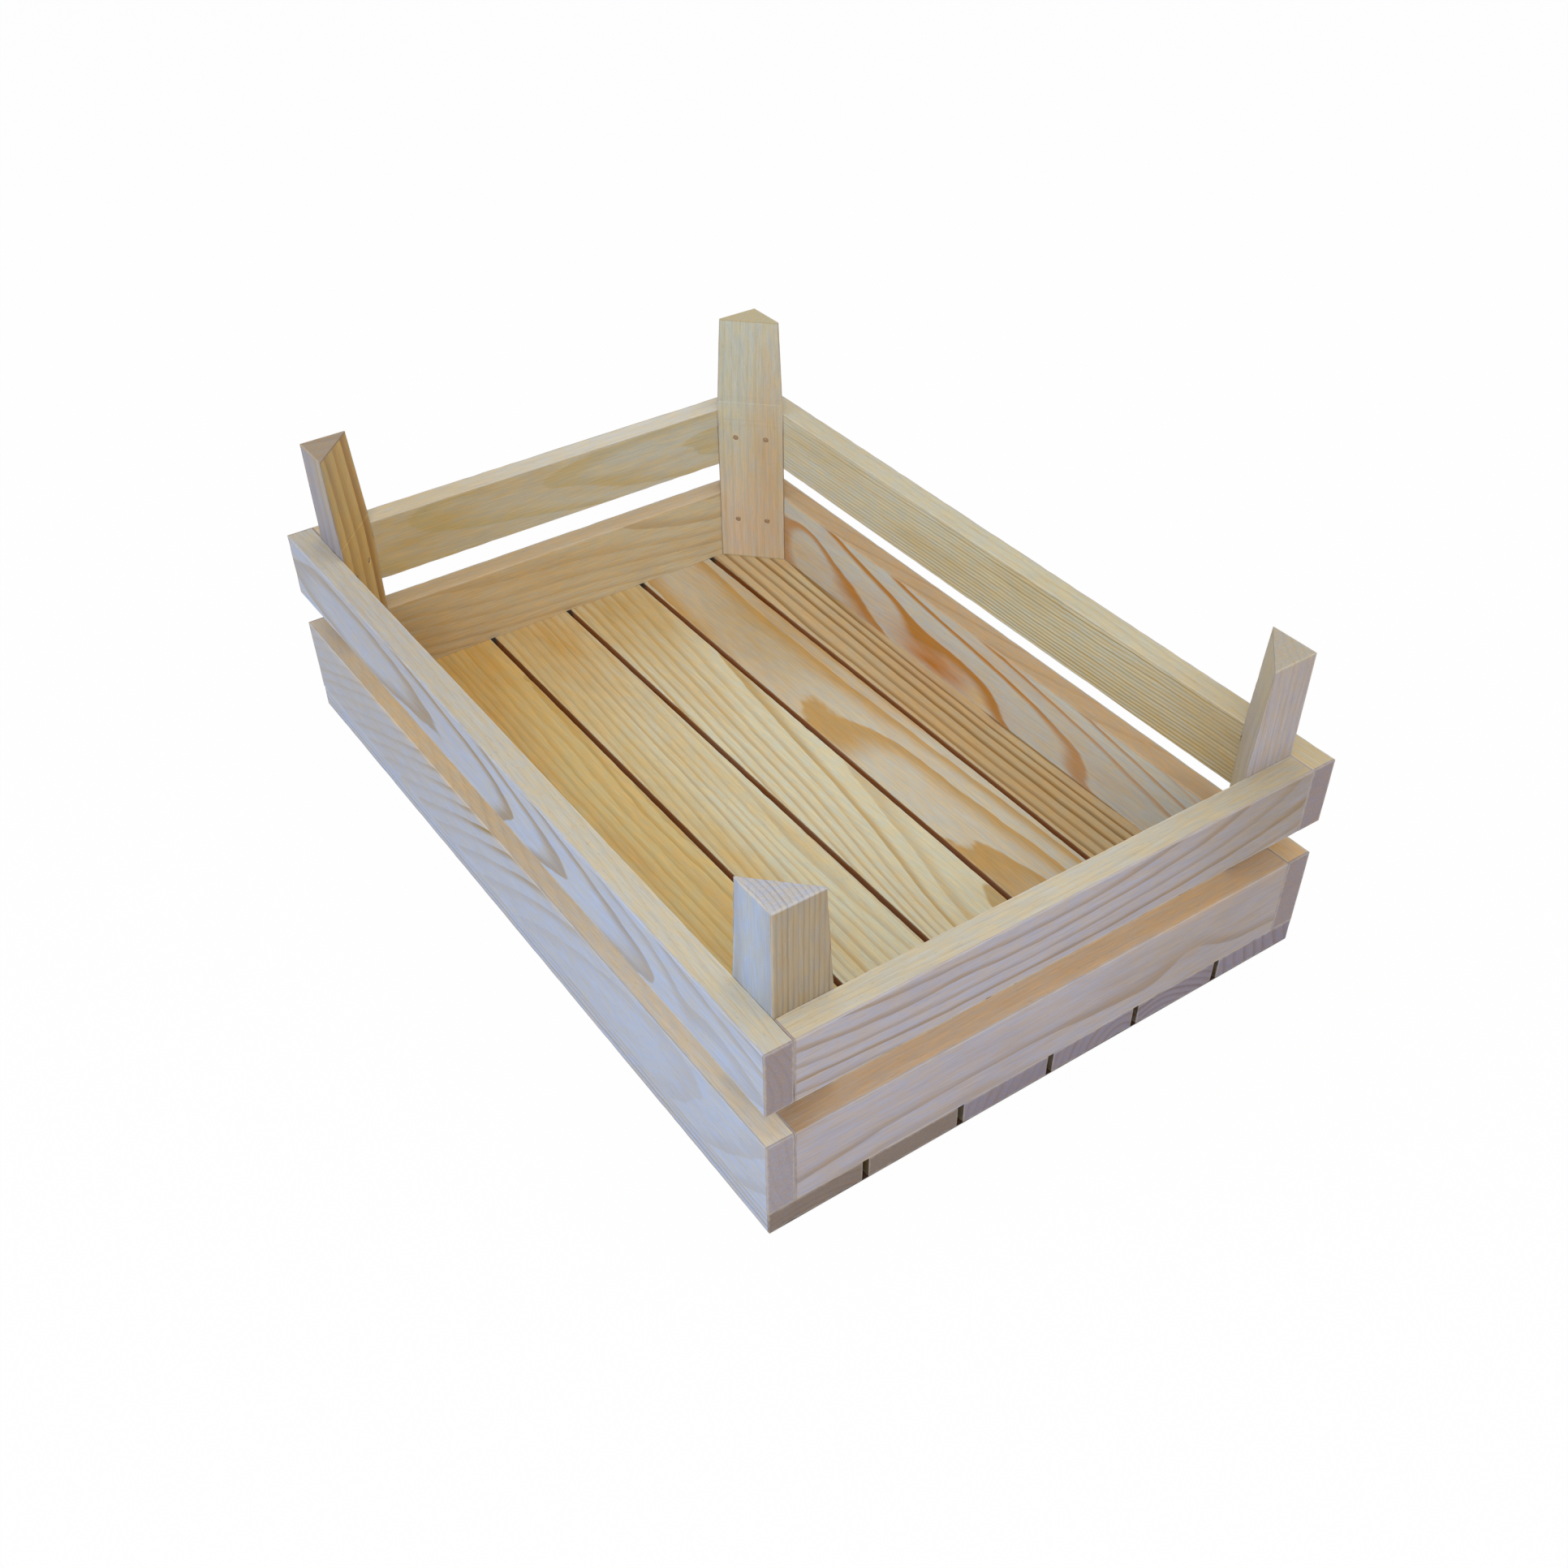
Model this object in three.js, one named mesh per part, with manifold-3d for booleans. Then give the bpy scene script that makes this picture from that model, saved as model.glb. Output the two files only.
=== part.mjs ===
// A nailed pine crate for fruit or display: a slatted floor, two tiers of side boards
// and four triangular corner posts that rise above the rim so that crates can stack.
// Millimetres. X runs along the crate, Y across it and Z up. The origin is on the ground,
// under the middle of the floor. Front is -Y, back +Y, left -X and right +X.
import * as THREE from 'three';
import { mergeVertices } from 'three/addons/utils/BufferGeometryUtils.js';
import Module from 'manifold-3d';

// Footprint, over the outer faces of the boards
const crateLength = 400;
const crateWidth = 270;

// Side boards, listed from the floor up
const boardThickness = 12;
const lowerBoardHeight = 38;
const sideGap = 17;
const upperBoardHeight = 31;

// Floor slats, which run the whole length under the boards
const slatThickness = 11;
const slatCount = 6;
const slatGap = 2.5;

// Corner posts: a right triangle in section, with its square edge in the crate's corner.
// The inner face leans back above the rim, from the full leg to the top leg.
const postLeg = 25.4;
const postTopLeg = 22.2;
const postAboveRim = 48;
const postTipFlat = 0.5;

// Small chamfer that planing and handling leave on every edge of the wood
const edgeEase = 0.6;

// Wire nails
const shankDiameter = 1.6;
const headDiameter = 2.6;
const headHeight = 0.8;
const nailPointLength = 2.4;
const nailSides = 8;

// Nails through a post's inner face, one into each board that meets there, set in from the
// post's sharp edges and down from the board's top edge, with wood left beyond their points
const postNailInset = 7;
const postNailDrop = 15;
const postNailTipCover = 5;
const postHeadRecess = 0.2;

// Nails up through the slat ends, two at each end
const slatNailInset = 6;
const slatNailBite = 17;
const slatHeadRecess = 0.6;

// Clearance round each nail, and how far a hole's cutter stands out of the wood
const nailClearance = 0.3;
const cutterOverrun = 1;

// Places that follow from the sizes above
const lowerBoardBase = slatThickness;
const upperBoardBase = lowerBoardBase + lowerBoardHeight + sideGap;
const rimHeight = upperBoardBase + upperBoardHeight;
const postTop = rimHeight + postAboveRim;
const innerHalfLength = crateLength / 2 - boardThickness;
const innerHalfWidth = crateWidth / 2 - boardThickness;
const slatWidth = (crateWidth - (slatCount - 1) * slatGap) / slatCount;

const tiers = [
  { name: 'lower', base: lowerBoardBase, height: lowerBoardHeight },
  { name: 'upper', base: upperBoardBase, height: upperBoardHeight },
];

const wasm = await Module();
wasm.setup();

const crate = new THREE.Group();
const wood = [];
const nails = [];

// Materials: each piece has its own, because no two boards are cut from the same plank.
function pine(color) {
  return new THREE.MeshStandardMaterial({ color, roughness: 0.72, metalness: 0 });
}

function steel() {
  return new THREE.MeshStandardMaterial({ color: 0x6b6762, roughness: 0.45, metalness: 0.9 });
}

// A sawn board centred on the origin, with all its edges eased.
function easedBoard(sizeX, sizeY, sizeZ) {
  const halfX = sizeX / 2;
  const halfY = sizeY / 2;
  const outline = new THREE.Shape([
    new THREE.Vector2(-halfX + edgeEase, -halfY),
    new THREE.Vector2(halfX - edgeEase, -halfY),
    new THREE.Vector2(halfX, -halfY + edgeEase),
    new THREE.Vector2(halfX, halfY - edgeEase),
    new THREE.Vector2(halfX - edgeEase, halfY),
    new THREE.Vector2(-halfX + edgeEase, halfY),
    new THREE.Vector2(-halfX, halfY - edgeEase),
    new THREE.Vector2(-halfX, -halfY + edgeEase),
  ]);
  const depth = sizeZ - 2 * edgeEase;
  const board = new THREE.ExtrudeGeometry(outline, {
    depth,
    bevelEnabled: true,
    bevelSegments: 1,
    bevelThickness: edgeEase,
    bevelSize: edgeEase,
    bevelOffset: -edgeEase,
  });
  return board.translate(0, 0, -depth / 2);
}

// A post's section at one height, with its square edge at the origin and its legs along -X
// and -Y. An inset draws every side in by that much. The sharp edges are cut flat.
function postSection(leg, inset, height) {
  const reach = leg - inset * (1 + Math.SQRT2);
  const flat = postTipFlat - inset * (Math.SQRT2 - 1);
  return [
    new THREE.Vector3(-inset, -inset - edgeEase, height),
    new THREE.Vector3(-inset - edgeEase, -inset, height),
    new THREE.Vector3(-reach + flat, -inset, height),
    new THREE.Vector3(-reach + flat, -inset - flat, height),
    new THREE.Vector3(-inset - flat, -reach + flat, height),
    new THREE.Vector3(-inset, -reach + flat, height),
  ];
}

// A closed solid skinned over convex sections with equal numbers of points, from the bottom up.
function loft(sections) {
  const count = sections[0].length;
  const points = sections.flat();
  const top = points.length - count;
  const faces = [];
  for (let i = 1; i < count - 1; i++) {
    faces.push(0, i + 1, i, top, top + i, top + i + 1);
  }
  for (let ring = 0; ring < sections.length - 1; ring++) {
    for (let i = 0; i < count; i++) {
      const a = ring * count + i;
      const b = ring * count + ((i + 1) % count);
      faces.push(a, b, b + count, a, b + count, a + count);
    }
  }
  return new THREE.BufferGeometry().setFromPoints(points).setIndex(faces).toNonIndexed();
}

// A post from the floor to its top, with both ends eased and the taper above the rim.
function cornerPost() {
  const taper = (postLeg - postTopLeg) / postAboveRim;
  return loft([
    postSection(postLeg, edgeEase, slatThickness),
    postSection(postLeg, 0, slatThickness + edgeEase),
    postSection(postLeg, 0, rimHeight),
    postSection(postTopLeg + taper * edgeEase, 0, postTop - edgeEase),
    postSection(postTopLeg, edgeEase, postTop),
  ]);
}

// A nail along -Y with the top of its head at the origin.
function nailGeometry(length) {
  const shank = shankDiameter / 2;
  const head = headDiameter / 2;
  const profile = [
    new THREE.Vector2(0, -length),
    new THREE.Vector2(shank, -length + nailPointLength),
    new THREE.Vector2(shank, -headHeight),
    new THREE.Vector2(head, -headHeight / 2),
    new THREE.Vector2(head, 0),
    new THREE.Vector2(0, 0),
  ];
  return new THREE.LatheGeometry(profile, nailSides);
}

// The hole that such a nail sits in, with the clearance all round it.
function nailHoleGeometry(length, recess) {
  const bore = shankDiameter / 2 + nailClearance;
  const counterbore = headDiameter / 2 + nailClearance;
  const mouth = recess + cutterOverrun;
  const profile = [
    new THREE.Vector2(0, -length - nailClearance),
    new THREE.Vector2(bore, -length - nailClearance),
    new THREE.Vector2(bore, -headHeight - nailClearance),
    new THREE.Vector2(counterbore, -headHeight - nailClearance),
    new THREE.Vector2(counterbore, mouth),
    new THREE.Vector2(0, mouth),
  ];
  return new THREE.LatheGeometry(profile, nailSides);
}

function addWood(parent, name, geometry, color, x, y, z) {
  const mesh = new THREE.Mesh(geometry, pine(color));
  mesh.name = name;
  mesh.position.set(x, y, z);
  parent.add(mesh);
  wood.push(mesh);
}

// Drives a nail into a face at a point, with its head's top sunk by the recess.
function addNail(parent, name, face, outward, length, recess) {
  const mesh = new THREE.Mesh(nailGeometry(length), steel());
  mesh.name = name;
  mesh.position.copy(face).addScaledVector(outward, -recess);
  mesh.quaternion.setFromUnitVectors(new THREE.Vector3(0, 1, 0), outward);
  parent.add(mesh);
  nails.push({ mesh, hole: nailHoleGeometry(length, recess) });
}

// Floor: slats side by side across the width, with two nails up through each end.
function addFloor() {
  const down = new THREE.Vector3(0, 0, -1);
  const nailLength = slatThickness + slatNailBite - slatHeadRecess;
  const nailX = crateLength / 2 - boardThickness / 2;
  for (let i = 0; i < slatCount; i++) {
    const name = `floor_slat_${i + 1}`;
    const y = -crateWidth / 2 + slatWidth / 2 + i * (slatWidth + slatGap);
    const slat = easedBoard(crateLength, slatWidth, slatThickness);
    addWood(crate, name, slat, 0xd3a873, 0, y, slatThickness / 2);
    let number = 0;
    for (const endX of [-nailX, nailX]) {
      for (const side of [-1, 1]) {
        const face = new THREE.Vector3(endX, y + side * (slatWidth / 2 - slatNailInset), 0);
        number += 1;
        addNail(crate, `${name}_nail_${number}`, face, down, nailLength, slatHeadRecess);
      }
    }
  }
}

// Sides: the front and back boards run the whole length and cover the ends of the others.
function addSides() {
  const endBoardLength = 2 * innerHalfWidth;
  const sideY = innerHalfWidth + boardThickness / 2;
  const endX = innerHalfLength + boardThickness / 2;
  for (const tier of tiers) {
    const z = tier.base + tier.height / 2;
    for (const [name, y] of [['front', -sideY], ['back', sideY]]) {
      const board = easedBoard(crateLength, boardThickness, tier.height);
      addWood(crate, `${tier.name}_${name}_board`, board, 0xdccfb8, 0, y, z);
    }
    for (const [name, x] of [['left', -endX], ['right', endX]]) {
      const board = easedBoard(boardThickness, endBoardLength, tier.height);
      addWood(crate, `${tier.name}_${name}_board`, board, 0xd2bfa2, x, 0, z);
    }
  }
}

// One corner: a post in a group that a quarter turn brings to its corner, with its nails
// square to its inner face. The first nail of a tier enters the board beyond the post's
// X leg, and the second the board beyond its Y leg.
function addCorner(name, signX, signY, quarterTurns) {
  const corner = new THREE.Group();
  corner.position.set(signX * innerHalfLength, signY * innerHalfWidth, 0);
  corner.rotation.z = (quarterTurns * Math.PI) / 2;
  crate.add(corner);
  addWood(corner, `${name}_post`, cornerPost(), 0xc9a677, 0, 0, 0);

  const inward = new THREE.Vector3(-Math.SQRT1_2, -Math.SQRT1_2, 0);
  const boardDepth = boardThickness - postNailTipCover;
  const nailLength = (postNailInset + boardDepth) * Math.SQRT2 - postHeadRecess;
  const near = -postNailInset;
  const far = -(postLeg - postNailInset);
  let number = 0;
  for (const tier of tiers) {
    const z = tier.base + tier.height - postNailDrop;
    for (const [x, y] of [[near, far], [far, near]]) {
      const face = new THREE.Vector3(x, y, z);
      number += 1;
      addNail(corner, `${name}_post_nail_${number}`, face, inward, nailLength, postHeadRecess);
    }
  }
}

function toSolid(geometry) {
  const bare = geometry.clone();
  bare.deleteAttribute('normal');
  bare.deleteAttribute('uv');
  const merged = mergeVertices(bare, 1e-3);
  return new wasm.Manifold(new wasm.Mesh({
    numProp: 3,
    vertProperties: new Float32Array(merged.attributes.position.array),
    triVerts: new Uint32Array(merged.index.array),
  }));
}

function toGeometry(solid) {
  const { vertProperties, triVerts } = solid.getMesh();
  const indexed = new THREE.BufferGeometry();
  indexed.setAttribute('position', new THREE.BufferAttribute(vertProperties, 3));
  indexed.setIndex(new THREE.BufferAttribute(triVerts, 1));
  const flat = indexed.toNonIndexed();
  flat.computeVertexNormals();
  return flat;
}

// Cuts every nail's hole out of each piece of wood that the nail passes through.
function drillNailHoles() {
  crate.updateMatrixWorld(true);
  const holes = nails.map(({ mesh, hole }) => {
    const placed = hole.applyMatrix4(mesh.matrixWorld);
    placed.computeBoundingBox();
    return placed;
  });
  for (const mesh of wood) {
    const reach = new THREE.Box3().setFromObject(mesh);
    const toLocal = mesh.matrixWorld.clone().invert();
    let solid = toSolid(mesh.geometry);
    for (const hole of holes) {
      if (reach.intersectsBox(hole.boundingBox)) {
        solid = solid.subtract(toSolid(hole.clone().applyMatrix4(toLocal)));
      }
    }
    mesh.geometry = toGeometry(solid);
  }
}

addFloor();
addSides();
addCorner('back_right', 1, 1, 0);
addCorner('back_left', -1, 1, 1);
addCorner('front_left', -1, -1, 2);
addCorner('front_right', 1, -1, 3);
drillNailHoles();

export default crate;
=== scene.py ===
"""Looks for a nailed pine crate: a slatted floor, two tiers of side boards and four corner posts.

Every piece of wood is sawn out, eased, worn and drilled at the place that the CAD frame gives it, and
dressed in pine whose growth rings run through the whole piece, so that faces, edges and ends agree.
"""

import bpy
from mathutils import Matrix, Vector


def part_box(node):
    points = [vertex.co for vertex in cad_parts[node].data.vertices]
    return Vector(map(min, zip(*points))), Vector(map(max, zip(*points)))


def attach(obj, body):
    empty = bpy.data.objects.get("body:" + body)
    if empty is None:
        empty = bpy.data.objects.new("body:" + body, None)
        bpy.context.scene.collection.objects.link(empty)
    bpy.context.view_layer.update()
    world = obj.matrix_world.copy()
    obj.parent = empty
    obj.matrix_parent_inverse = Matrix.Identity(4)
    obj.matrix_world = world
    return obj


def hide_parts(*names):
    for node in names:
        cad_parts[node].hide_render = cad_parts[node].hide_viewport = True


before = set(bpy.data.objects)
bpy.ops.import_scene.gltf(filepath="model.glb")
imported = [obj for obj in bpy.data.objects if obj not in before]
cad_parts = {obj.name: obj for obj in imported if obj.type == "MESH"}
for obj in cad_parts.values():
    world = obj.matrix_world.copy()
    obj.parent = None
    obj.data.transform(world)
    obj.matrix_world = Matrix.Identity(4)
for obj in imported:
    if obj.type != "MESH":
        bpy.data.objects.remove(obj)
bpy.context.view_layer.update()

import logging
import math
from dataclasses import dataclass, field, replace
from enum import Enum
from typing import Callable, NamedTuple, Optional, Union

import bmesh
import bpy
from mathutils import Matrix, Vector

MM = 0.001
WHITE = (1.0, 1.0, 1.0, 1.0)
BODY = "root"
ENVELOPE = (200.0, 135.0)
ALIGNED = 0.9

log = logging.getLogger("crate")

Number = Union[int, float]
Value = Union["Signal", Number]
Colour = tuple[float, float, float, float]
Shade = int
Size = tuple[float, float, float]
Steps = tuple[tuple[float, float], ...]
Piece = bpy.types.Object
Dressed = Union[bpy.types.Material, bpy.types.World]


def srgb(shade: Shade) -> Colour:
    """Turns a colour as it shows on a screen, 0xRRGGBB, into Blender's linear colour."""
    shown = (part / 255 for part in shade.to_bytes(3, "big"))
    return (*(c / 12.92 if c <= 0.04045 else ((c + 0.055) / 1.055) ** 2.4 for c in shown), 1.0)


def operator(operation: str, swapped: bool = False) -> Callable:
    """Makes the method by which a Signal takes part in a sum.

    Args:
        operation: The Math node's operation.
        swapped: Whether the other value comes first.

    Returns:
        The method.
    """

    def method(self: "Signal", other: Value) -> "Signal":
        """Adds the node."""
        return self.math(operation, *((other, self) if swapped else (self, other)))

    return method


@dataclass(eq=False)
class Signal:
    """A number that varies over a surface: a shader socket that takes part in Python sums."""

    shader: "Shader"
    socket: bpy.types.NodeSocket

    __add__, __radd__ = operator("ADD"), operator("ADD", swapped=True)
    __sub__, __rsub__ = operator("SUBTRACT"), operator("SUBTRACT", swapped=True)
    __mul__, __truediv__ = operator("MULTIPLY"), operator("DIVIDE")
    least, most = operator("MINIMUM"), operator("MAXIMUM")

    def math(self, operation: str, *values: Value) -> "Signal":
        """Adds a Math node with this operation, which works on the values in order."""
        return self.shader.node("ShaderNodeMath", {"operation": operation}, dict(enumerate(values)))

    def __neg__(self) -> "Signal":
        """Opposite."""
        return self.math("MULTIPLY", self, -1.0)

    def __abs__(self) -> "Signal":
        """Size without its sign."""
        return self.math("ABSOLUTE", self)

    def rise(self, start: Number, end: Number) -> "Signal":
        """Goes smoothly from 0 at start to 1 at end.

        Args:
            start: Where the result is 0. It may be the larger of the two.
            end: Where the result is 1.

        Returns:
            The smooth step.
        """
        falls = start > end
        low, high = min(start, end), max(start, end)
        settings = {"interpolation_type": "SMOOTHSTEP", "clamp": True}
        values = {0: self, 1: low, 2: high, 3: 1.0 if falls else 0.0, 4: 0.0 if falls else 1.0}
        return self.shader.node("ShaderNodeMapRange", settings, values)

    def bell(self, centre: Number, reach: Number) -> "Signal":
        """A bell curve: 1 at the centre, fallen to 0.37 at reach from it."""
        offset = (self - centre) / reach
        return self.math("POWER", math.e, -(offset * offset))


class Shader:
    """The node tree of a material or of the world, built from Python expressions."""

    def __init__(self, owner: Dressed) -> None:
        """Empties the tree.

        Args:
            owner: The new material or world.
        """
        owner.use_nodes = True
        self.owner = owner
        self.tree = owner.node_tree
        self.tree.nodes.clear()

    def node(self, kind: str, settings: dict, inputs: dict, output: Union[int, str] = 0) -> Signal:
        """Adds one node: its settings first, then the values or links of its sockets.

        Args:
            kind: The node's type.
            settings: Values for the node's own properties.
            inputs: Values or signals for its sockets, by name or place.
            output: The output that is wanted, by name or place.

        Returns:
            That output.
        """
        made = self.tree.nodes.new(kind)
        for name, value in settings.items():
            setattr(made, name, value)
        for key, value in inputs.items():
            if isinstance(value, Signal):
                self.tree.links.new(value.socket, made.inputs[key])
            else:
                made.inputs[key].default_value = value
        return Signal(self, made.outputs[output])

    def place(self) -> list[Signal]:
        """X, Y and Z of the surface point, in the crate's own millimetres."""
        point = self.node("ShaderNodeTexCoord", {}, {}, "Object")
        return [self.node("ShaderNodeSeparateXYZ", {}, {0: point}, i) * (1 / MM) for i in range(3)]

    def noise(self, place: list[Signal], size: Size, detail: float, seed: float) -> Signal:
        """Smooth noise round 0.5.

        Args:
            place: Three coordinates in millimetres.
            size: How long a blotch is along each of them, in millimetres.
            detail: How many finer layers it has.
            seed: Which noise it is.

        Returns:
            The noise.
        """
        parts = {i: place[i] * (1 / size[i]) + (seed * (7.31 + 3.17 * i)) for i in range(3)}
        vector = self.node("ShaderNodeCombineXYZ", {}, parts)
        values = {"Vector": vector, "Scale": 1.0, "Detail": detail, "Roughness": 0.55}
        return self.node("ShaderNodeTexNoise", {}, values)

    def scatter(self, value: Signal) -> Signal:
        """A random number from 0 to 1 for each whole value."""
        return self.node("ShaderNodeTexWhiteNoise", {"noise_dimensions": "1D"}, {"W": value})

    def mix(self, share: object, first: object, second: object, blend: str = "MIX") -> Signal:
        """Mixes two colours or signals: share is how much of the second there is."""
        settings = {"data_type": "RGBA", "blend_type": blend}
        return self.node("ShaderNodeMix", settings, {0: share, 6: first, 7: second}, 2)

    def bump(self, height: Signal, depth: float) -> Signal:
        """A normal that follows a height of 0 to 1, where 1 is depth in millimetres."""
        values = {"Strength": 1.0, "Distance": depth * MM, "Height": height}
        return self.node("ShaderNodeBump", {}, values)

    def surface(self, **inputs: object) -> bpy.types.Material:
        """Ends the tree in a Principled surface, whose sockets are named with _ for a space."""
        values = {name.replace("_", " "): value for name, value in inputs.items()}
        return self.ends_in(self.node("ShaderNodeBsdfPrincipled", {}, values))

    def blend(self, share: Signal, first: Signal, second: Signal, kind: str = "Material") -> Dressed:
        """Ends the tree in a mix of two shaders and returns what it dresses."""
        return self.ends_in(self.node("ShaderNodeMixShader", {}, {0: share, 1: first, 2: second}), kind)

    def ends_in(self, shader: Signal, kind: str = "Material") -> Dressed:
        """Links a shader to the tree's output.

        Args:
            shader: The shader.
            kind: Material or World.

        Returns:
            The material or world.
        """
        output = self.tree.nodes.new(f"ShaderNodeOutput{kind}")
        self.tree.links.new(shader.socket, output.inputs["Surface"])
        return self.owner


# How long, wide and deep the blotches of each pattern in the wood are, in millimetres.
WANDER, RIPPLE = (110, 34, 34), (26, 8, 8)
CLOUD, TINT_RIM, BLUSH, RUB = (95, 16, 16), (30, 6, 6), (9, 2.2, 2.2), (9, 3, 3)
FIBRE, HAIR, FLECK = (16, 0.55, 0.55), (5, 0.22, 0.22), (2.4, 0.32, 0.32)
KERF, TORN_END = (0.9, 30, 30), (3, 0.5, 0.5)

# The values between which each pattern comes in, and how a summer line ends.
CLOUD_IN, BLUSH_IN, RUST_IN = (0.42, 0.75), (0.35, 0.65), (0.42, 0.62)
FIBRE_IN, FLECK_IN, LINE_END, LINE_BACK = (-0.3, 0.3), (0.74, 0.82), 0.9, (1.0, 0.95)

# How deep inside a face, in millimetres, a point belongs to it, and where the painted shade of a gap comes
# in.
END_IN, LEFT_IN, OUTER_IN, TOP_IN = (1.0, 0.7), (-195, -199), (-0.9, -0.65), (-0.7, -0.4)
RUB_RAGGED, RUB_IN = 1.6, (1.1, 0.1)
GAP_SIDE_IN, GAP_TOP_IN, GAP_END_IN, GAP_DEPTH_IN = (0.75, 0.45), (0.3, 1.2), (0.1, 0.4), (15, 11)

# How strongly patterns tint the wood, how much less the lines show on some faces, and how luck varies them.
FIBRE_TINT, BLUSH_TINT, FLECK_TINT, RUB_TINT = 0.24, 0.6, 0.2, 0.22
END_FADE, TOP_FADE, OUTER_FADE, PATCH_FLOOR = 0.5, 0.7, 0.5, 0.25
LUCK_SPAN, LUCK_FLOOR = 0.6, 0.55

# Relief, as shares of its whole depth in millimetres, and roughness: the wood's own and what changes it.
RELIEF, LINE_RISE, FIBRE_RISE, HAIR_RISE, FLECK_DROP, TORN_RISE = 0.11, 0.35, 0.35, 0.2, 0.4, 0.8
ROUGH, LINE_GLOSS, FIBRE_MATT, END_MATT, RUB_GLOSS, SPECULAR = 0.66, 0.1, 0.12, 0.14, 0.06, 0.35

# Tones that all the pine shares.
COOL, WARM, FAR_END = 0xE8F0FA, 0xFAF0D6, 0xFFF4E0
FIBRE_SHADE, FLECK_SHADE, WORN_SHADE = 0x9C8870, 0x8C7054, 0xE8E0D0
# Painted shade down in the gaps between the slats: warm along them, near black toward their ends.
GAP_SHADE_WARM, GAP_SHADE_DARK = 0xA85C18, 0x2C140C


class Run(Enum):
    """Which way a piece's grain runs, as the crate's axes for along, across and deep."""

    LONG = (0, 2, 1)
    CROSS = (1, 2, 0)
    FLAT = (0, 1, 2)
    UPRIGHT = (2, 0, 1)


class Tones(NamedTuple):
    """One side of a piece, as it shows on a screen: spring wood, summer lines and cloudy patches."""

    spring: Shade
    summer: Shade
    cloud: Shade


@dataclass(frozen=True)
class Patch:
    """A soft patch of a piece, in millimetres along and across it."""

    along: float
    across: float
    length: float
    width: float

    def spot(self, along: Signal, across: Signal) -> Signal:
        """How far a point is inside the patch: 1 in its middle, 0 far away."""
        return along.bell(self.along, self.length) * across.bell(self.across, self.width)


@dataclass(frozen=True)
class StainAndLight(Patch):
    """A patch of another tone on a piece's main face."""

    # A stain in the wood, and on a few pieces painted light instead.
    shade: Shade
    depth: float


@dataclass(frozen=True)
class Swirl(Patch):
    """A patch where the rings bulge, as near a knot, by a lift in millimetres."""

    lift: float


@dataclass(frozen=True)
class Grain:
    """How a piece was cut from its log. Millimetres, on the piece's own axes and from its middle.

    The rings are cylinders round the pith. The pith lies at across and deep, drifts by lean for each
    millimetre along, and dives by flare away from the turn, which closes the arches on a flat face.
    """

    across: float
    deep: float
    ring: float
    lean: float = 0.0
    dive: float = 0.0
    flare: float = 0.0
    turn: float = 0.0
    bend: float = 30.0
    wander: float = 0.8
    ripple: float = 0.4
    swirls: tuple[Swirl, ...] = ()
    seed: float = 0.0

    def rings(self, shader: Shader, place: list[Signal]) -> Signal:
        """How many rings there are between the pith and a point.

        Args:
            shader: The shader that it is for.
            place: Along, across and deep, in millimetres.

        Returns:
            The number of rings.
        """
        along, across, deep = place
        aside = across - self.across - along * self.lean
        below = deep - self.deep - along * self.dive
        if self.flare:
            run = along - self.turn
            curve = run.math("SQRT", run * run + self.bend * self.bend) - self.bend
            below = below + curve * self.flare
        radius = aside.math("SQRT", aside * aside + below * below)
        for size, reach, detail in ((WANDER, self.wander, 1), (RIPPLE, self.ripple, 2)):
            radius = radius + (shader.noise(place, size, detail, self.seed + detail) - 0.5) * (2 * reach)
        for swirl in self.swirls:
            radius = radius + swirl.spot(along, across) * swirl.lift
        return radius * (1 / self.ring)


class Spot(NamedTuple):
    """Where a surface point lies on a piece, in millimetres on the piece's own axes, and on which face.

    The gaps are how far the point is inside the piece's ends, sides and faces, and half is half the piece's
    size. The rest goes from 0 to 1: on a sawn end, on one at the crate's left, on the crate's outer faces
    along X (beside) or Y (facing) or either, where the weathered tones with painted light go, and on the
    piece's upper edge.
    """

    place: list[Signal]
    half: list[float]
    gaps: list[Signal]
    end: Signal
    far_end: Signal
    beside: Signal
    facing: Signal
    weather_and_light: Signal
    top: Signal


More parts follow.
